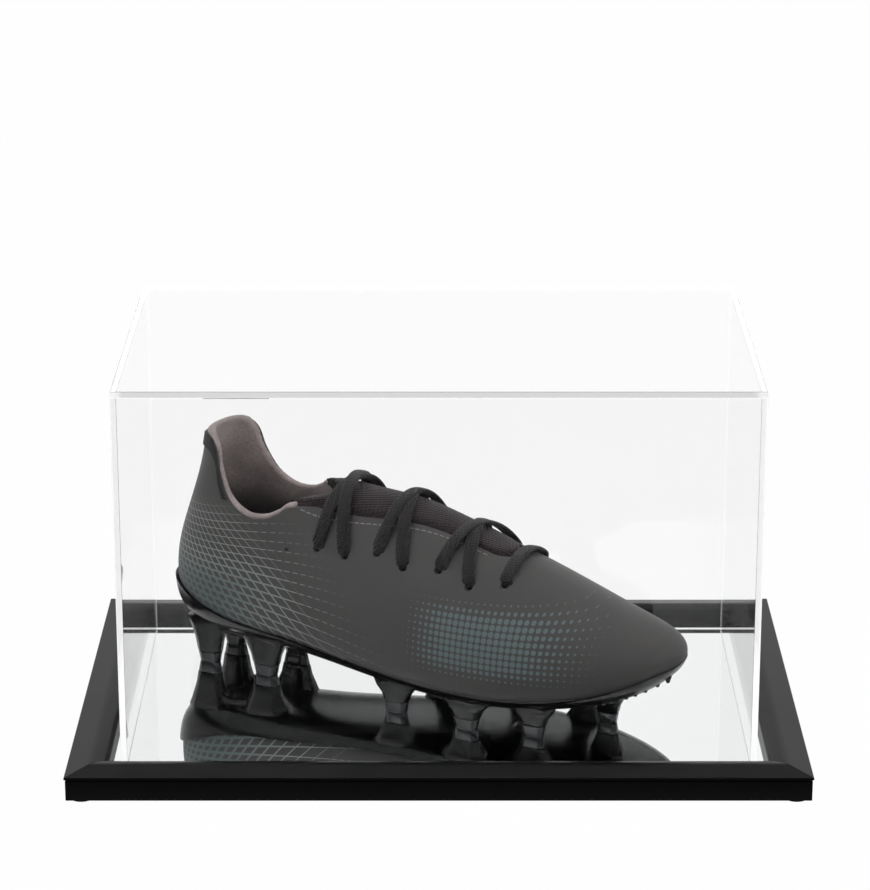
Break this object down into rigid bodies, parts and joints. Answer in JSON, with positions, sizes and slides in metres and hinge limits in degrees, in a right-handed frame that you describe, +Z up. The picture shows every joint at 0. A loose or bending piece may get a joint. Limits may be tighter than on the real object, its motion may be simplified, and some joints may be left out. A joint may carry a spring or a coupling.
{
  "type": "football boot display case",
  "caption": "Football boot display case: clear lift-off box cover on a black moulded base with a mirror floor, holding one loose studded boot.",
  "frame": {"origin": "centre of the base's footprint, on the table under the felt feet", "axes": "+X along the front to the right, +Y to the back, +Z up"},
  "size_m": [0.36, 0.242, 0.1985],
  "materials": {
    "black_moulding": "satin black paint",
    "mirror": "polished mirror",
    "board": "bare hardboard",
    "steel": "plain steel strip",
    "felt": "black felt",
    "clear_acrylic": "clear polished acrylic",
    "upper_synthetic": "matt charcoal synthetic with a fine printed lattice",
    "lining": "mauve-grey suede cloth",
    "binding": "black tape",
    "tongue_knit": "ribbed dark knit",
    "sole": "gloss black",
    "stud_tip": "gloss black",
    "insole": "pressed fibre board",
    "sockliner": "dark foam with cloth face",
    "lace": "flat woven black lace"
  },
  "bodies": {
    "base": {"front_rail": "black_moulding", "back_rail": "black_moulding", "left_rail": "black_moulding", "right_rail": "black_moulding", "mirror_plate": "mirror", "backing_board": "board", "corner_v_nails": "steel", "retaining_points": "steel", "felt_feet": "felt"},
    "cover": {"cover_top": "clear_acrylic", "cover_front": "clear_acrylic", "cover_back": "clear_acrylic", "cover_left": "clear_acrylic", "cover_right": "clear_acrylic"},
    "boot": {"upper": "upper_synthetic", "collar_lining": "lining", "heel_tab_binding": "binding", "tongue": "tongue_knit", "sole_plate": "sole", "stud_tips": "stud_tip", "insole_board": "insole", "sockliner": "sockliner", "lace": "lace"}
  },
  "joints": [
    {"name": "cover_lift", "type": "slide", "parent": "base", "child": "cover", "axis": [0, 0, 1], "range_m": [0, 0.2]},
    {"name": "boot_lift", "type": "slide", "parent": "base", "child": "boot", "axis": [0, 0, 1], "range_m": [0, 0.05]}
  ]
}
